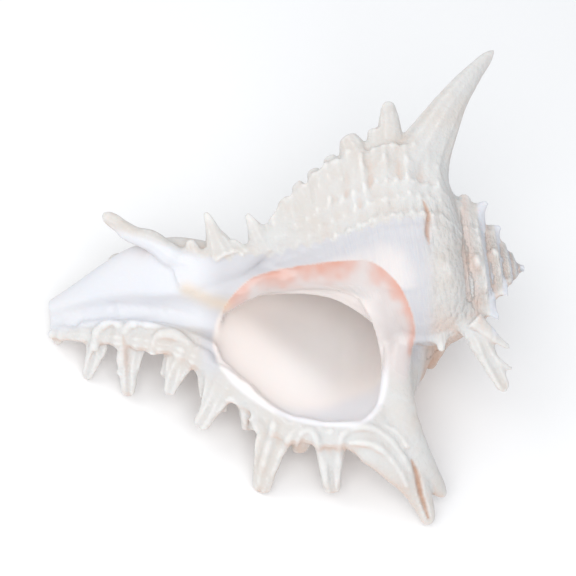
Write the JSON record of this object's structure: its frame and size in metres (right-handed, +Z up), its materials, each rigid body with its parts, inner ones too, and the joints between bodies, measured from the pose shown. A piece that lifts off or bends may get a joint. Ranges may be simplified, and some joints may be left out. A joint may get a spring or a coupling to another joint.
{
  "type": "conch shell",
  "caption": "Large branched murex sea shell, chalky white and coiled, with an open pink-edged mouth, a long drawn-out canal and rows of hollow spines along its old lips.",
  "frame": {"origin": "on the surface it rests on, under the middle of the shell's bounding box", "axes": "+X along the shell, from the canal towards the apex; +Z up from the surface the shell lies on; the mouth faces up and towards -Y"},
  "size_m": [0.1972, 0.1632, 0.1236],
  "materials": {
    "shell": "chalky white outside with satin porcelain inside, pink along the inner edge of the mouth"
  },
  "bodies": {
    "root": {"shell": "shell"}
  },
  "joints": []
}
